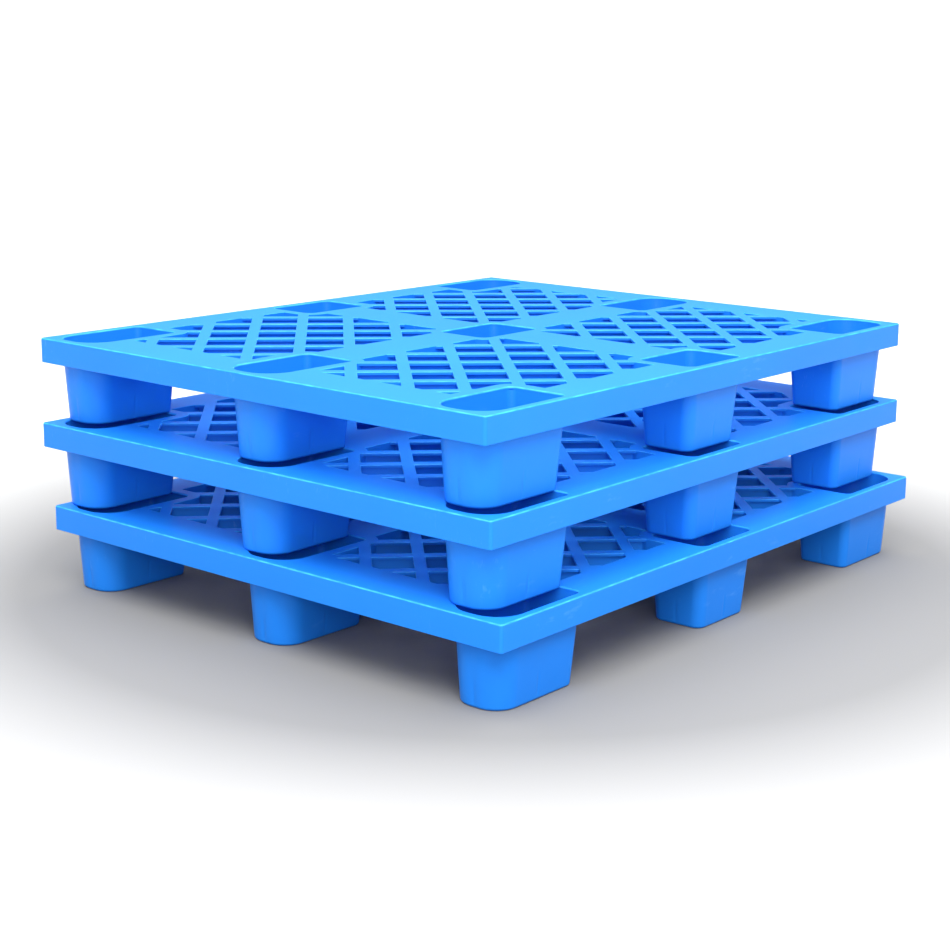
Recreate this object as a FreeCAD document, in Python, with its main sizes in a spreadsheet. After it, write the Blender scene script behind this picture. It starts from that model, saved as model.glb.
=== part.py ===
import FreeCAD, Part
import math
import os
import Sketcher
from FreeCAD import Rotation, Vector

# A stack of three identical nine-foot plastic pallets, all sizes in millimetres.
# Row frame: +Z up, X along the deck's length, Y along its width, origin on the floor
# at the middle of the lowest pallet. Each pallet is one moulding, made here as a
# deck and nine hollow feet that meet face to face under the deck plate.

doc = FreeCAD.newDocument("PalletStack")
sheet = doc.addObject("Spreadsheet::Sheet", "Sizes")

SIZES = [
    ("deck_length", 1200.0, "overall length of one pallet"),
    ("deck_width", 1000.0, "overall width of one pallet"),
    ("pallet_height", 143.0, "floor to deck top of one pallet"),
    ("skirt_height", 42.5, "height of the outer skirt"),
    ("skirt_wall", 4.0, "wall of the outer skirt"),
    ("deck_corner", 5.5, "plan radius of the deck corners"),
    ("deck_edge", 3.0, "radius of the deck's top outer edge"),
    ("deck_plate", 5.0, "thickness of the deck plate and of the lattice bars"),
    ("pocket_border_x", 16.0, "deck's end to the mouth of an outer pocket, along X"),
    ("pocket_border_y", 14.5, "deck's side to the mouth of an outer pocket, along Y"),
    ("pocket_side_length", 185.0, "mouth of an outer foot's pocket, along X"),
    ("pocket_mid_length", 150.0, "mouth of a centre foot's pocket, along X"),
    ("pocket_width", 106.0, "mouth of every pocket, along Y"),
    ("pocket_end_flat", 16.0, "straight part of an outer pocket's rounded end"),
    ("pocket_side_corner", 12.0, "inner corner radius of an outer pocket"),
    ("pocket_mid_corner", 16.0, "corner radius of a centre pocket"),
    ("pocket_edge", 3.5, "radius of the pocket's rim"),
    ("foot_wall", 3.2, "wall of the feet"),
    ("foot_taper", 0.068, "draft of the feet, run over rise"),
    ("foot_floor", 4.0, "floor of the feet"),
    ("foot_edge", 5.0, "radius round the bottom of the feet"),
    ("foot_rib", 3.0, "thickness of the cross rib inside each foot"),
    ("nest_pitch", 50.0, "height that one more pallet adds when nested"),
    ("lattice_pitch", 118.0, "hole to hole along X and along Y"),
    ("lattice_hole", 64.0, "side of the square lattice holes"),
    ("lattice_web", 3.0, "thickness of the webs under the lattice bars"),
    ("web_depth", 38.0, "deck top to the bottom of the webs and ribs"),
    ("panel_border_x", 90.0, "deck's end to a lattice panel, along X"),
    ("panel_border_y", 73.0, "deck's side to a lattice panel, along Y"),
    ("panel_middle_x", 52.0, "middle of the deck to a lattice panel, along X"),
    ("panel_middle_y", 50.0, "middle of the deck to a lattice panel, along Y"),
    ("pocket_margin", 22.0, "solid deck left round each pocket"),
    ("middle_shift_x", 0.8, "middle pallet's offset from the lowest one, along X"),
    ("middle_shift_y", 26.4, "middle pallet's offset from the lowest one, along Y"),
    ("middle_turn", 0.29, "middle pallet's turn on the lowest one, degrees"),
    ("upper_shift_x", 12.8, "upper pallet's offset from the lowest one, along X"),
    ("upper_shift_y", 40.0, "upper pallet's offset from the lowest one, along Y"),
    ("upper_turn", -0.17, "upper pallet's turn on the lowest one, degrees"),
]
for row, (alias, value, note) in enumerate(SIZES, start=1):
    sheet.set("A%d" % row, note)
    sheet.set("B%d" % row, str(value))
    sheet.setAlias("B%d" % row, alias)
doc.recompute()


def size(alias):
    """A driving size as a number."""
    return float(getattr(sheet, alias))


def number(text):
    """The value of an expression in the sheet's sizes, such as 'Sizes.deck_length / 2'."""
    value = sheet.evalExpression(text)
    return float(getattr(value, "Value", value))


def bind(item, **paths):
    """Bind properties to expressions; a double underscore in a name stands for a dot."""
    for path, text in paths.items():
        item.setExpression(path.replace("__", "."), text)
    return item


def box(name, length, width, height, x, y, z):
    """A box bound to the sheet, given by its sizes and its lowest corner."""
    item = doc.addObject("Part::Box", name)
    return bind(item, Length=length, Width=width, Height=height,
                Placement__Base__x=x, Placement__Base__y=y, Placement__Base__z=z)


def group(name, items):
    """Several shapes as one compound."""
    item = doc.addObject("Part::Compound", name)
    item.Links = items
    return item


def cut(name, base, tool):
    """One shape less another."""
    item = doc.addObject("Part::Cut", name)
    item.Base = base
    item.Tool = tool
    return item


def rounded(name, base, radius, chosen):
    """Fillet the edges of base that chosen(edge) picks."""
    doc.recompute()
    item = doc.addObject("Part::Fillet", name)
    item.Base = base
    item.Edges = [(index, radius, radius)
                  for index, edge in enumerate(base.Shape.Edges, start=1) if chosen(edge)]
    return item


def upright(edge):
    """True for a straight edge along Z."""
    first, last = edge.Vertexes[0].Point, edge.Vertexes[-1].Point
    flat = math.hypot(first.x - last.x, first.y - last.y) < 1e-6
    return flat and abs(first.z - last.z) > 1e-6


def level(height):
    """A test for the edges that lie at one height."""
    def test(edge):
        bounds = edge.BoundBox
        return abs(bounds.ZMin - height) < 1e-4 and abs(bounds.ZMax - height) < 1e-4
    return test


def outline(name, half_length, half_width, end_radius, inner_radius, height):
    """A closed outline about Z at one height. Its -X corners have end_radius and its
    +X corners inner_radius; every size is an expression."""
    sketch = doc.addObject("Sketcher::SketchObject", name)
    hx, hy = number(half_length), number(half_width)
    re, ri = number(end_radius), number(inner_radius)
    up = Vector(0, 0, 1)

    def line(x1, y1, x2, y2):
        sketch.addGeometry(Part.LineSegment(Vector(x1, y1, 0), Vector(x2, y2, 0)), False)

    def arc(x, y, radius, start):
        circle = Part.Circle(Vector(x, y, 0), up, radius)
        first = math.radians(start)
        sketch.addGeometry(Part.ArcOfCircle(circle, first, first + math.pi / 2), False)

    line(-hx + re, -hy, hx - ri, -hy)
    line(hx, -hy + ri, hx, hy - ri)
    line(hx - ri, hy, -hx + re, hy)
    line(-hx, hy - re, -hx, -hy + re)
    arc(hx - ri, -hy + ri, ri, -90)
    arc(hx - ri, hy - ri, ri, 0)
    arc(-hx + re, hy - re, re, 90)
    arc(-hx + re, -hy + re, re, 180)

    def rule(*parts):
        return sketch.addConstraint(Sketcher.Constraint(*parts))

    for before, after in ((0, 4), (4, 1), (1, 5), (5, 2), (2, 6), (6, 3), (3, 7), (7, 0)):
        rule("Tangent", before, 2, after, 1)
    rule("Horizontal", 0)
    rule("Horizontal", 2)
    rule("Vertical", 1)
    rule("Vertical", 3)
    driven = (
        (rule("DistanceX", -1, 1, 1, 1, hx), half_length),
        (rule("DistanceX", 3, 1, -1, 1, hx), half_length),
        (rule("DistanceY", -1, 1, 2, 1, hy), half_width),
        (rule("DistanceY", 0, 1, -1, 1, hy), half_width),
        (rule("Radius", 4, ri), inner_radius),
        (rule("Radius", 5, ri), inner_radius),
        (rule("Radius", 6, re), end_radius),
        (rule("Radius", 7, re), end_radius),
    )
    for index, text in driven:
        sketch.setExpression("Constraints[%d]" % index, text)
    return bind(sketch, Placement__Base__z=height)


def loft(name, lower, upper):
    """A straight-sided solid between two outlines."""
    item = doc.addObject("Part::Loft", name)
    item.Sections = [lower, upper]
    item.Solid = True
    item.Ruled = True
    return item


def prism(name, profile, height):
    """An upright solid on an outline."""
    item = doc.addObject("Part::Extrusion", name)
    item.Base = profile
    item.DirMode = "Custom"
    item.Dir = Vector(0, 0, 1)
    item.Solid = True
    return bind(item, LengthFwd=height)


# Heights above the floor.
TOP = "Sizes.pallet_height"
PLATE = "(Sizes.pallet_height - Sizes.deck_plate)"
SKIRT = "(Sizes.pallet_height - Sizes.skirt_height)"
WEBS = "(Sizes.pallet_height - Sizes.web_depth)"
# A nested pallet's feet come down onto the cross ribs of the feet below.
RIB_TOP = "(Sizes.nest_pitch)"

# Distances from the middle of the deck: to the outer feet, and to the far sides of
# the lattice panels.
FOOT_X = "((Sizes.deck_length - Sizes.pocket_side_length) / 2 - Sizes.pocket_border_x)"
FOOT_Y = "((Sizes.deck_width - Sizes.pocket_width) / 2 - Sizes.pocket_border_y)"
PANEL_X = "(Sizes.deck_length / 2 - Sizes.panel_border_x)"
PANEL_Y = "(Sizes.deck_width / 2 - Sizes.panel_border_y)"

COLUMNS = (("left", -1), ("centre", 0), ("right", 1))
ROWS = (("front", -1), ("mid", 0), ("back", 1))


def pocket(kind):
    """Half length, half width, end radius and inner radius of a pocket's mouth."""
    half_width = "Sizes.pocket_width / 2"
    if kind == "mid":
        corner = "Sizes.pocket_mid_corner"
        return "Sizes.pocket_mid_length / 2", half_width, corner, corner
    end = "(Sizes.pocket_width - Sizes.pocket_end_flat) / 2"
    return "Sizes.pocket_side_length / 2", half_width, end, "Sizes.pocket_side_corner"


def pocket_outline(name, kind, height, grow="0", shrink_over="0"):
    """A pocket's outline grown by one distance all round, or drawn in by the draft
    of the feet over shrink_over millimetres of height. The small corners keep their
    radius over the draft; an outer foot's round end follows the width."""
    length, width, end, inner = pocket(kind)
    run = "%s * Sizes.foot_taper" % shrink_over
    length = "%s + %s - %s" % (length, grow, run)
    width = "%s + %s - %s" % (width, grow, run)
    inner = "%s + %s" % (inner, grow)
    end = "%s + %s" % (end, grow)
    if kind == "side":
        end = "%s - %s" % (end, run)
    return outline(name, length, width, end, inner, height)


def foot(kind):
    """One hollow foot about its own middle, open at the top, with a low cross rib."""
    drop = PLATE
    lower = pocket_outline(kind + "_foot_base", kind, "0", "Sizes.foot_wall", drop)
    upper = pocket_outline(kind + "_foot_head", kind, PLATE, "Sizes.foot_wall")
    block = loft(kind + "_foot_block", lower, upper)
    shell = rounded(kind + "_foot_shell", block, size("foot_edge"), level(0))
    floor_drop = "(%s - Sizes.foot_floor)" % PLATE
    base = pocket_outline(kind + "_hollow_base", kind, "Sizes.foot_floor", "0", floor_drop)
    head = pocket_outline(kind + "_hollow_head", kind, PLATE)
    hollow = loft(kind + "_hollow", base, head)
    span = "Sizes.pocket_side_length"
    rib = "Sizes.foot_rib"
    ribs = group(kind + "_cross_rib", [
        box(kind + "_rib_long", span, rib, RIB_TOP, "-%s / 2" % span, "-%s / 2" % rib, "0"),
        box(kind + "_rib_short", rib, span, RIB_TOP, "-%s / 2" % rib, "-%s / 2" % span, "0"),
    ])
    cells = cut(kind + "_foot_cells", hollow, ribs)
    return cut(kind + "_foot", shell, cells)


def place_of(column, row):
    """The middle of a foot on its pallet, as two expressions."""
    return "%d * %s" % (column, FOOT_X), "%d * %s" % (row, FOOT_Y)


def at_feet(name, make):
    """make(kind) once for each of the nine feet, set in its place, as one compound.
    The right-hand feet are the left-hand ones turned half round."""
    items = []
    for row_name, row in ROWS:
        for column_name, column in COLUMNS:
            kind = "side" if column else "mid"
            item = make("%s_%s_%s" % (name, row_name, column_name), kind)
            x, y = place_of(column, row)
            bind(item, Placement__Base__x=x, Placement__Base__y=y)
            if column > 0:
                item.Placement.Rotation = Rotation(Vector(0, 0, 1), 180)
            items.append(item)
    return group(name, items)


def foot_space(name, kind):
    """The space that one foot takes up below the deck plate."""
    lower = pocket_outline(name + "_base", kind, "0", "Sizes.foot_wall", PLATE)
    upper = pocket_outline(name + "_head", kind, PLATE, "Sizes.foot_wall")
    return loft(name, lower, upper)


def mouth(name, kind):
    """The opening of one pocket through the deck plate."""
    profile = pocket_outline(name + "_line", kind, PLATE)
    return prism(name, profile, "Sizes.deck_plate + 1")


def margins(name, grow):
    """The solid deck kept round the nine pockets, less grow millimetres."""
    def keep(item_name, kind):
        profile = pocket_outline(item_name + "_line", kind, "0",
                                 "(Sizes.pocket_margin - %s)" % grow)
        return prism(item_name, profile, TOP + " + 1")
    return at_feet(name, keep)


def panels(name, grow, bottom, height):
    """The four lattice panels between the pockets, grown by grow millimetres."""
    length = "(%s - Sizes.panel_middle_x + 2 * %s)" % (PANEL_X, grow)
    width = "(%s - Sizes.panel_middle_y + 2 * %s)" % (PANEL_Y, grow)
    items = []
    for side_x in (-1, 1):
        for side_y in (-1, 1):
            x = "%d * (%s + Sizes.panel_middle_x) / 2 - %s / 2" % (side_x, PANEL_X, length)
            y = "%d * (%s + Sizes.panel_middle_y) / 2 - %s / 2" % (side_y, PANEL_Y, width)
            label = "%s_%s%s" % (name, "ab"[side_x > 0], "ab"[side_y > 0])
            items.append(box(label, length, width, height, x, y, bottom))
    return cut(name, group(name + "_boxes", items), margins(name + "_margins", grow))


def diamonds(name, side, bottom, height):
    """Upright square prisms turned 45 degrees, one at each lattice hole that reaches
    a panel: their middles are half a pitch apart and every other one is left out."""
    half = size("lattice_pitch") / 2
    reach = number(side) / math.sqrt(2)
    near_x, far_x = size("panel_middle_x") - reach, number(PANEL_X) + reach
    near_y, far_y = size("panel_middle_y") - reach, number(PANEL_Y) + reach
    count_x, count_y = int(far_x / half), int(far_y / half)
    items = []
    for i in range(-count_x, count_x + 1):
        for j in range(-count_y, count_y + 1):
            inside = near_x < abs(i) * half < far_x and near_y < abs(j) * half < far_y
            if (i + j) % 2 == 0 or not inside:
                continue
            item = box("%s_%d" % (name, len(items)), side, side, height,
                       "%d * Sizes.lattice_pitch / 2" % i,
                       "%d * Sizes.lattice_pitch / 2 - %s / sqrt(2)" % (j, side), bottom)
            item.Placement.Rotation = Rotation(Vector(0, 0, 1), 45)
            items.append(item)
    return group(name, items)


def deck():
    """One pallet's deck: plate, skirt, lattice panels, webs and ribs, with the nine
    pocket mouths through the plate. Its feet are separate."""
    slab = box("slab", "Sizes.deck_length", "Sizes.deck_width", "Sizes.skirt_height",
               "-Sizes.deck_length / 2", "-Sizes.deck_width / 2", SKIRT)
    slab = rounded("slab_corners", slab, size("deck_corner"), upright)
    slab = rounded("slab_edges", slab, size("deck_edge"), level(size("pallet_height")))
    inner_length = "(Sizes.deck_length - 2 * Sizes.skirt_wall)"
    inner_width = "(Sizes.deck_width - 2 * Sizes.skirt_wall)"
    under = box("underside", inner_length, inner_width, "(Sizes.skirt_height - Sizes.deck_plate)",
                "-%s / 2" % inner_length, "-%s / 2" % inner_width, SKIRT)
    under = rounded("underside_corners", under, size("deck_corner") - size("skirt_wall"), upright)
    tray = cut("tray", slab, under)
    tray = cut("tray_mouths", tray, at_feet("mouths", mouth))
    top = level(size("pallet_height"))
    inside_x = size("deck_length") / 2 - 2 * size("deck_edge")
    inside_y = size("deck_width") / 2 - 2 * size("deck_edge")

    def rim(edge):
        bounds = edge.BoundBox
        near = max(abs(bounds.XMin), abs(bounds.XMax)) < inside_x
        return top(edge) and near and max(abs(bounds.YMin), abs(bounds.YMax)) < inside_y

    tray = rounded("tray_rims", tray, size("pocket_edge"), rim)
    windows = panels("windows", "0", WEBS, "(Sizes.web_depth + 1)")
    tray = cut("tray_windows", tray, windows)

    # The lattice: bars one plate thick on webs, inside a border rib round each panel.
    cell = "(Sizes.lattice_pitch / sqrt(2) - Sizes.lattice_web)"
    openings = group("lattice_openings", [
        diamonds("holes", "Sizes.lattice_hole", WEBS, "(Sizes.web_depth + 1)"),
        diamonds("cells", cell, WEBS, "(Sizes.web_depth - Sizes.deck_plate)"),
    ])
    stock = panels("lattice_stock", "0", WEBS, "Sizes.web_depth")
    lattice = cut("lattice", stock, openings)
    outer = panels("border_outer", "Sizes.lattice_web", WEBS,
                   "(Sizes.web_depth - Sizes.deck_plate)")
    borders = cut("borders", outer, windows)

    # Straight ribs under the solid deck, on the lattice pitch, from the skirt to the
    # panels' borders and to the feet.
    web = "Sizes.lattice_web"
    depth = "(Sizes.web_depth - Sizes.deck_plate)"
    bars = []
    count_x = int(size("deck_length") / 2 / size("lattice_pitch"))
    count_y = int(size("deck_width") / 2 / size("lattice_pitch"))
    for i in range(-count_x, count_x + 1):
        x = "%d * Sizes.lattice_pitch - %s / 2" % (i, web)
        y = "-%s / 2" % inner_width
        bars.append(box("rib_across_%d" % len(bars), web, inner_width, depth, x, y, WEBS))
    for j in range(-count_y, count_y + 1):
        x = "-%s / 2" % inner_length
        y = "%d * Sizes.lattice_pitch - %s / 2" % (j, web)
        bars.append(box("rib_along_%d" % len(bars), inner_length, web, depth, x, y, WEBS))
    ribs = doc.addObject("Part::MultiFuse", "ribs")
    ribs.Shapes = bars
    ribs = cut("ribs_off_panels", ribs, windows)
    ribs = cut("ribs_off_feet", ribs, at_feet("foot_spaces", foot_space))

    whole = doc.addObject("Part::MultiFuse", "deck")
    whole.Shapes = [tray, lattice, borders, ribs]
    whole.Refine = True
    return whole


def copy_of(label, master, dx, dy, turn, lift, x="0", y="0", half_round=False):
    """A named piece: a body on a master shape, at x, y on a pallet that is shifted,
    turned and lifted."""
    body = doc.addObject("PartDesign::Body", label)
    body.Label = label
    body.newObject("PartDesign::FeatureBase", label + "_base").BaseFeature = master
    body.Placement.Rotation = Rotation(Vector(0, 0, 1), 1)
    angle = "%s * 1 deg" % turn
    return bind(
        body,
        Placement__Base__x="%s + cos(%s) * (%s) - sin(%s) * (%s)" % (dx, angle, x, angle, y),
        Placement__Base__y="%s + sin(%s) * (%s) + cos(%s) * (%s)" % (dy, angle, x, angle, y),
        Placement__Base__z=lift,
        Placement__Rotation__Angle="%s + %s" % (turn, "180" if half_round else "0"),
    )


side_foot = foot("side")
mid_foot = foot("mid")
deck_shape = deck()
doc.recompute()

PALLETS = (
    ("lower", "0", "0", "0", "0"),
    ("middle", "Sizes.middle_shift_x", "Sizes.middle_shift_y", "Sizes.middle_turn",
     "Sizes.pallet_height"),
    ("upper", "Sizes.upper_shift_x", "Sizes.upper_shift_y", "Sizes.upper_turn",
     "2 * Sizes.pallet_height"),
)
pieces = []
for pallet, dx, dy, turn, lift in PALLETS:
    pieces.append(copy_of(pallet + "_deck", deck_shape, dx, dy, turn, lift))
    for row_name, row in ROWS:
        for column_name, column in COLUMNS:
            x, y = place_of(column, row)
            label = "%s_foot_%s_%s" % (pallet, row_name, column_name)
            master = side_foot if column else mid_foot
            pieces.append(copy_of(label, master, dx, dy, turn, lift, x, y, column > 0))
doc.recompute()

for item in doc.Objects:
    if "Invalid" in item.State or "Error" in item.State:
        raise RuntimeError("%s failed: %s" % (item.Name, item.State))
for piece in pieces:
    if piece.Shape.isNull() or not piece.Shape.isValid() or len(piece.Shape.Solids) != 1:
        raise RuntimeError("%s has no single valid solid" % piece.Label)

os.makedirs("parts", exist_ok=True)
for piece in pieces:
    piece.Shape.exportStep("parts/%s.step" % piece.Label)
    print(piece.Label, round(piece.Shape.Volume / 1000, 1), "cm3", len(piece.Shape.Faces), "faces")
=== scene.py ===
import math

import bmesh
import bpy
from mathutils import Matrix, Vector


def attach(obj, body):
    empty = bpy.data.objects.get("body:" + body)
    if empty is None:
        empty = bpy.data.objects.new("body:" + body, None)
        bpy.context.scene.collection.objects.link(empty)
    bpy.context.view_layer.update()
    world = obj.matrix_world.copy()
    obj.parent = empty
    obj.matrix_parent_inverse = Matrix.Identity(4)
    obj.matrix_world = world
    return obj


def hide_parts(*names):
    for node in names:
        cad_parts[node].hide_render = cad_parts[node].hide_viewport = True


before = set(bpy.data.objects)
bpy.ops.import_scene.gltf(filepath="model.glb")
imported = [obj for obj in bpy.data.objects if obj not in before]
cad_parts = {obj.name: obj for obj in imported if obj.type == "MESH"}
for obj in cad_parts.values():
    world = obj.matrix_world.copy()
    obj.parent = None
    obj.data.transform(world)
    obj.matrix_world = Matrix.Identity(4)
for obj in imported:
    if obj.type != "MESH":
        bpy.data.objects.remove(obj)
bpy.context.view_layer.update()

scene = bpy.context.scene
scene.view_settings.view_transform = "Standard"


# ---------------------------------------------------------------- camera
IMAGE = (950.0, 925.0)
FOCAL = 1788.1                      # focal length in pixels of the image
CENTRE = (502.86, 413.39)           # where the optical axis meets the image
EYE = Vector((-2.4193, -1.9930, 0.9114))
AZIMUTH, ELEVATION, ROLL = (math.radians(a) for a in (-50.59, 11.32, 0.65))
SENSOR = 36.0                       # millimetres
CLIP = (0.05, 100)                  # metres


def make_camera():
    forward = Vector((-math.sin(AZIMUTH) * math.cos(ELEVATION),
                      math.cos(AZIMUTH) * math.cos(ELEVATION), -math.sin(ELEVATION)))
    right = forward.cross(Vector((0, 0, 1))).normalized()
    up = right.cross(forward)
    image_right = math.cos(ROLL) * right + math.sin(ROLL) * up
    image_up = -math.sin(ROLL) * right + math.cos(ROLL) * up
    data = bpy.data.cameras.new("camera")
    data.sensor_width = SENSOR
    data.lens = FOCAL / IMAGE[0] * SENSOR
    data.shift_x = (IMAGE[0] / 2 - CENTRE[0]) / IMAGE[0]
    data.shift_y = (CENTRE[1] - IMAGE[1] / 2) / IMAGE[0]
    data.clip_start, data.clip_end = CLIP
    camera = bpy.data.objects.new("camera", data)
    scene.collection.objects.link(camera)
    turn = Matrix((image_right, image_up, -forward)).transposed().to_4x4()
    camera.matrix_world = Matrix.Translation(EYE) @ turn
    scene.camera = camera


# ---------------------------------------------------------------- materials
BLUE = (0.013, 0.218, 0.82)
DEEP_BLUE = (0.011, 0.204, 0.78)
# painted highlight: the pale colour laid on rounded edges that face upward
PAINTED_EDGE_HIGHLIGHT = (0.050, 0.420, 0.95)
SCUFF = (0.060, 0.290, 0.86)
ROUGHNESS = (0.36, 0.48)
REFRACTION = 1.5
SPECULAR_LEVEL = 0.18
MOTTLE_SCALE = 3.5
GRAIN_SCALE = 420
GRAIN_STRENGTH = 0.08
GRAIN_DEPTH = 0.0006                # metres
PATCH_SCALE = 45                    # of the stretches of painted highlight along an edge
SCUFF_TURN = math.radians(24)
SCUFF_STRETCH = (22, 170, 60)
SCUFF_PATCH_SCALE = 7
FLOOR_ROUGHNESS = 0.9


def ramp_of(nodes, stops):
    """A colour ramp through (position, level) stops; a level is a grey or a colour."""
    ramp = nodes.new("ShaderNodeValToRGB")
    elements = ramp.color_ramp.elements
    for element, (position, _) in zip(elements, stops[:2]):
        element.position = position
    for position, _ in stops[2:]:
        elements.new(position)
    for element, (_, level) in zip(elements, sorted(stops)):
        element.color = (*(level if isinstance(level, tuple) else (level,) * 3), 1)
    return ramp


def noise_of(nodes, links, vector, scale, detail=2.0, roughness=0.5):
    noise = nodes.new("ShaderNodeTexNoise")
    noise.inputs["Scale"].default_value = scale
    noise.inputs["Detail"].default_value = detail
    noise.inputs["Roughness"].default_value = roughness
    links.new(vector, noise.inputs["Vector"])
    return noise


def product(nodes, links, a, b):
    node = nodes.new("ShaderNodeMath")
    node.operation = "MULTIPLY"
    links.new(a, node.inputs[0])
    links.new(b, node.inputs[1])
    return node.outputs["Value"]


def painted_highlight_mask(nodes, links, place):
    """Painted highlight on the rounded edges that face upward and outward, broken into stretches
    here and there.
    """
    split = nodes.new("ShaderNodeSeparateXYZ")
    links.new(place.outputs["Normal"], split.inputs["Vector"])
    slope = ramp_of(nodes, ((0.25, 0.0), (0.45, 1.0), (0.80, 1.0), (0.96, 0.0)))
    links.new(split.outputs["Z"], slope.inputs["Fac"])
    patches = noise_of(nodes, links, place.outputs["Object"], PATCH_SCALE, detail=3)
    amount = ramp_of(nodes, ((0.35, 0.25), (0.65, 1.0)))
    links.new(patches.outputs["Fac"], amount.inputs["Fac"])
    return product(nodes, links, slope.outputs["Color"], amount.outputs["Color"])


def scuff_mask(nodes, links, place):
    """Short faint rub marks, in a few patches."""
    stretch = nodes.new("ShaderNodeMapping")
    stretch.inputs["Rotation"].default_value = (0, 0, SCUFF_TURN)
    stretch.inputs["Scale"].default_value = SCUFF_STRETCH
    links.new(place.outputs["Object"], stretch.inputs["Vector"])
    marks = noise_of(nodes, links, stretch.outputs["Vector"], 1.0, detail=4, roughness=0.6)
    thin = ramp_of(nodes, ((0.60, 0.0), (0.74, 0.8)))
    links.new(marks.outputs["Fac"], thin.inputs["Fac"])
    patches = noise_of(nodes, links, place.outputs["Object"], SCUFF_PATCH_SCALE)
    where = ramp_of(nodes, ((0.52, 0.0), (0.68, 1.0)))
    links.new(patches.outputs["Fac"], where.inputs["Fac"])
    return product(nodes, links, thin.outputs["Color"], where.outputs["Color"])


def paled_by_highlight_and_scuff(nodes, links, place, colour, pale, mask):
    """The colour, going to the pale one where the mask says."""
    mix = nodes.new("ShaderNodeMix")
    mix.data_type = "RGBA"
    amount, first, second = (mix.inputs[i] for i in (0, 6, 7))     # the colour sockets
    second.default_value = (*pale, 1)
    links.new(mask(nodes, links, place), amount)
    links.new(colour, first)
    return mix.outputs[2]


def plastic(name):
    """Satin moulded plastic: a fine grain, soft mottling, a painted highlight on upward-facing
    edges and a few scuffs.
    """
    material = bpy.data.materials.new(name)
    material.use_nodes = True
    tree = material.node_tree
    nodes, links = tree.nodes, tree.links
    shader = nodes["Principled BSDF"]
    place = nodes.new("ShaderNodeTexCoord")
    mottle = noise_of(nodes, links, place.outputs["Object"], MOTTLE_SCALE, detail=3)
    ramp = ramp_of(nodes, ((0.3, DEEP_BLUE), (0.7, BLUE)))
    links.new(mottle.outputs["Fac"], ramp.inputs["Fac"])
    # painted highlight on the upward-facing edges, then real scuffs on top
    colour = paled_by_highlight_and_scuff(nodes, links, place, ramp.outputs["Color"], PAINTED_EDGE_HIGHLIGHT, painted_highlight_mask)
    colour = paled_by_highlight_and_scuff(nodes, links, place, colour, SCUFF, scuff_mask)
    links.new(colour, shader.inputs["Base Color"])
    grain = noise_of(nodes, links, place.outputs["Object"], GRAIN_SCALE)
    bump = nodes.new("ShaderNodeBump")
    bump.inputs["Strength"].default_value = GRAIN_STRENGTH
    bump.inputs["Distance"].default_value = GRAIN_DEPTH
    links.new(grain.outputs["Fac"], bump.inputs["Height"])
    links.new(bump.outputs["Normal"], shader.inputs["Normal"])
    rough = nodes.new("ShaderNodeMapRange")
    rough.inputs["To Min"].default_value, rough.inputs["To Max"].default_value = ROUGHNESS
    links.new(mottle.outputs["Fac"], rough.inputs["Value"])
    links.new(rough.outputs["Result"], shader.inputs["Roughness"])
    shader.inputs["IOR"].default_value = REFRACTION
    shader.inputs["Specular IOR Level"].default_value = SPECULAR_LEVEL
    return material


def floor_material():
    """Pale matt floor with a painted shadow: darker where the pallets stand on it."""
    material = bpy.data.materials.new("studio_floor")
    material.use_nodes = True
    nodes, links = material.node_tree.nodes, material.node_tree.links
    shader = nodes["Principled BSDF"]
    place = nodes.new("ShaderNodeTexCoord")
    scale = nodes.new("ShaderNodeMapping")
    scale.inputs["Scale"].default_value = (1 / FLOOR_SHADOW_REACH, 1 / FLOOR_SHADOW_REACH, 1)
    painted_shadow = nodes.new("ShaderNodeTexGradient")
    painted_shadow.gradient_type = "SPHERICAL"
    # painted shadow: the floor's colour darkens towards the pallets
    ramp = ramp_of(nodes, FLOOR_SHADOW_LEVELS)
    links.new(place.outputs["Object"], scale.inputs["Vector"])
    links.new(scale.outputs["Vector"], painted_shadow.inputs["Vector"])
    links.new(painted_shadow.outputs["Fac"], ramp.inputs["Fac"])
    links.new(ramp.outputs["Color"], shader.inputs["Base Color"])
    shader.inputs["Roughness"].default_value = FLOOR_ROUGHNESS
    return material


# ---------------------------------------------------------------- mouldings
SHARP = math.radians(40)            # edges that turn more than this are rounded
FLAT = math.radians(0.3)            # facets that turn less than this become one face
WELD = 1e-6                         # metres, as all the lengths below
AT_JOINT = 1e-4
EDGE = {"deck": 0.0012, "foot": 0.0010}
JOINT_HEIGHT = 0.138                # feet meet the underside of the deck plate here
PALLET_STEP = 0.143
LEVELS = ("lower", "middle", "upper")
SINK_HEIGHT = 0.048                 # the inner rib stops this far above the foot's underside
SINK_ROWS = (0.012, 0.024, 0.036, SINK_HEIGHT)
SINK_DEPTH = 0.0012
SINK_REACH = 0.005                  # half the width of the crease
WALL_REACH = 0.0125                 # a foot's walls lean in by less than this over their height


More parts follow.
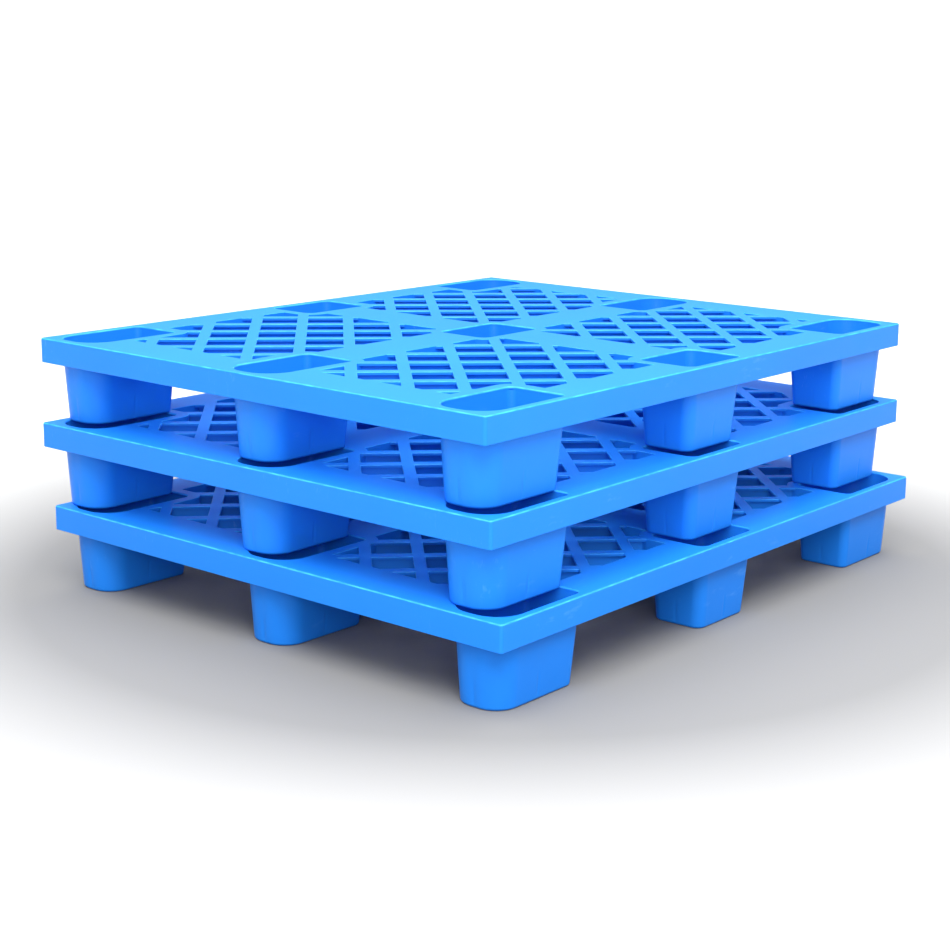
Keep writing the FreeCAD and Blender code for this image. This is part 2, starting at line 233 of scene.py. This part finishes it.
def rounded(node, width, joint, sinks):
    """A copy of a CAD node as one clean mesh with its moulded edges rounded."""
    mesh = bmesh.new()
    mesh.from_mesh(node.data)
    bmesh.ops.remove_doubles(mesh, verts=mesh.verts, dist=WELD)
    bmesh.ops.dissolve_limit(mesh, angle_limit=FLAT, verts=mesh.verts, edges=mesh.edges)
    edges = [e for e in mesh.edges if abs(e.calc_face_angle_signed(0)) > SHARP
             and max(abs(v.co.z - joint) for v in e.verts) > AT_JOINT]
    bmesh.ops.bevel(mesh, geom=edges, offset=width, offset_type="OFFSET", segments=2,
                    profile=0.5, affect="EDGES", clamp_overlap=False,
                    miter_outer="SHARP", miter_inner="SHARP", harden_normals=False)
    if sinks:
        sink_marks(mesh, joint - JOINT_HEIGHT)
    for face in mesh.faces:
        face.smooth = True
    data = bpy.data.meshes.new(node.name + "_moulding")
    mesh.to_mesh(data)
    mesh.free()
    data.set_sharp_from_angle(angle=SHARP)
    piece = bpy.data.objects.new(node.name + "_moulding", data)
    scene.collection.objects.link(piece)
    piece.modifiers.new("even_shading", "WEIGHTED_NORMAL").keep_sharp = True
    return piece


def cut_through(mesh, point, normal):
    """New edges where a plane crosses the mesh."""
    bmesh.ops.bisect_plane(mesh, geom=mesh.verts[:] + mesh.edges[:] + mesh.faces[:],
                           plane_co=point, plane_no=normal, dist=WELD)


def sink_marks(mesh, base):
    """Creases where a rib inside the foot meets the middle of its four walls."""
    middle = [(min(v.co[k] for v in mesh.verts) + max(v.co[k] for v in mesh.verts)) / 2
              for k in range(2)]
    for k in range(2):
        normal = Vector((1 - k, k, 0))
        for offset in (-SINK_REACH, -SINK_REACH / 2, 0, SINK_REACH / 2, SINK_REACH):
            cut_through(mesh, Vector((middle[0], middle[1], 0)) + normal * offset, normal)
    for height in SINK_ROWS:
        cut_through(mesh, (0, 0, base + height), (0, 0, 1))
    half = [max(abs(v.co[k] - middle[k]) for v in mesh.verts) for k in range(2)]
    moves = []
    for v in mesh.verts:
        rise = (v.co.z - base) / SINK_HEIGHT
        if not 0.1 < rise < 0.99:
            continue
        for k in range(2):
            along = abs(v.co[k] - middle[k]) / SINK_REACH
            across = v.co[1 - k] - middle[1 - k]
            wall = abs(across) > half[1 - k] - WALL_REACH
            outward = v.normal[1 - k] * across > 0
            if along < 0.99 and wall and outward:
                fade = min(1.0, (1 - rise) * 4)
                depth = SINK_DEPTH * fade * (0.5 + 0.5 * math.cos(math.pi * along))
                moves.append((v, 1 - k, -math.copysign(depth, across)))
    for v, k, step in moves:
        v.co[k] += step


def mouldings(materials):
    """Every CAD node, replaced by its rounded copy on the same pallet."""
    for name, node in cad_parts.items():
        kind = "deck" if name.endswith("_deck") else "foot"
        level = name.split("_")[0]
        joint = LEVELS.index(level) * PALLET_STEP + JOINT_HEIGHT
        piece = rounded(node, EDGE[kind], joint, kind == "foot")
        piece.data.materials.append(materials[kind])
        for face in piece.data.polygons:
            face.material_index = 0
        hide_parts(name)
        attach(piece, level + "_pallet")


# ---------------------------------------------------------------- studio
SKY_STRENGTH = 5.0
SKY = ((0.07, 0.22), (0.84, 1.0), (0.10, 0.05), (0.62, 0.09))       # height on the dome, level
FLOOR_HALF = 30.0
# the floor's painted shadow: how far it reaches, and the floor's level by nearness to the middle
FLOOR_SHADOW_REACH = 2.2
FLOOR_SHADOW_LEVELS = ((0.30, 0.55), (0.62, 0.20))                         # nearness to the middle, level
AIM = (0, 0, 0.3)
LIGHTS = {                          # place, width, height, power
    "key": ((-2.2, -2.4, 2.9), 1.8, 1.8, 80),
    "fill": ((-3.1, -2.8, 1.6), 1.6, 0.9, 45),
}


def area(name, place, width, height, power):
    data = bpy.data.lights.new(name, "AREA")
    data.shape = "RECTANGLE"
    data.size = width
    data.size_y = height
    data.energy = power
    light = bpy.data.objects.new(name, data)
    scene.collection.objects.link(light)
    light.location = place
    light.rotation_euler = (Vector(AIM) - Vector(place)).to_track_quat("-Z", "Y").to_euler()


def studio():
    """A wide floor under a soft dome, with two lamps on the camera's side."""
    mesh = bpy.data.meshes.new("floor")
    corners = ((-1, -1), (1, -1), (1, 1), (-1, 1))
    mesh.from_pydata([(x * FLOOR_HALF, y * FLOOR_HALF, 0) for x, y in corners], [], [(0, 1, 2, 3)])
    mesh.materials.append(floor_material())
    floor = bpy.data.objects.new("floor", mesh)
    scene.collection.objects.link(floor)
    world = bpy.data.worlds.new("studio")
    scene.world = world
    world.use_nodes = True
    tree = world.node_tree
    background = tree.nodes["Background"]
    background.inputs["Strength"].default_value = SKY_STRENGTH
    direction = tree.nodes.new("ShaderNodeTexCoord")
    split = tree.nodes.new("ShaderNodeSeparateXYZ")
    tree.links.new(direction.outputs["Generated"], split.inputs["Vector"])
    ramp = ramp_of(tree.nodes, SKY)
    tree.links.new(split.outputs["Z"], ramp.inputs["Fac"])
    tree.links.new(ramp.outputs["Color"], background.inputs["Color"])
    for name, light in LIGHTS.items():
        area(name, *light)


make_camera()
mouldings({"deck": plastic("deck_plastic"), "foot": plastic("foot_plastic")})
studio()
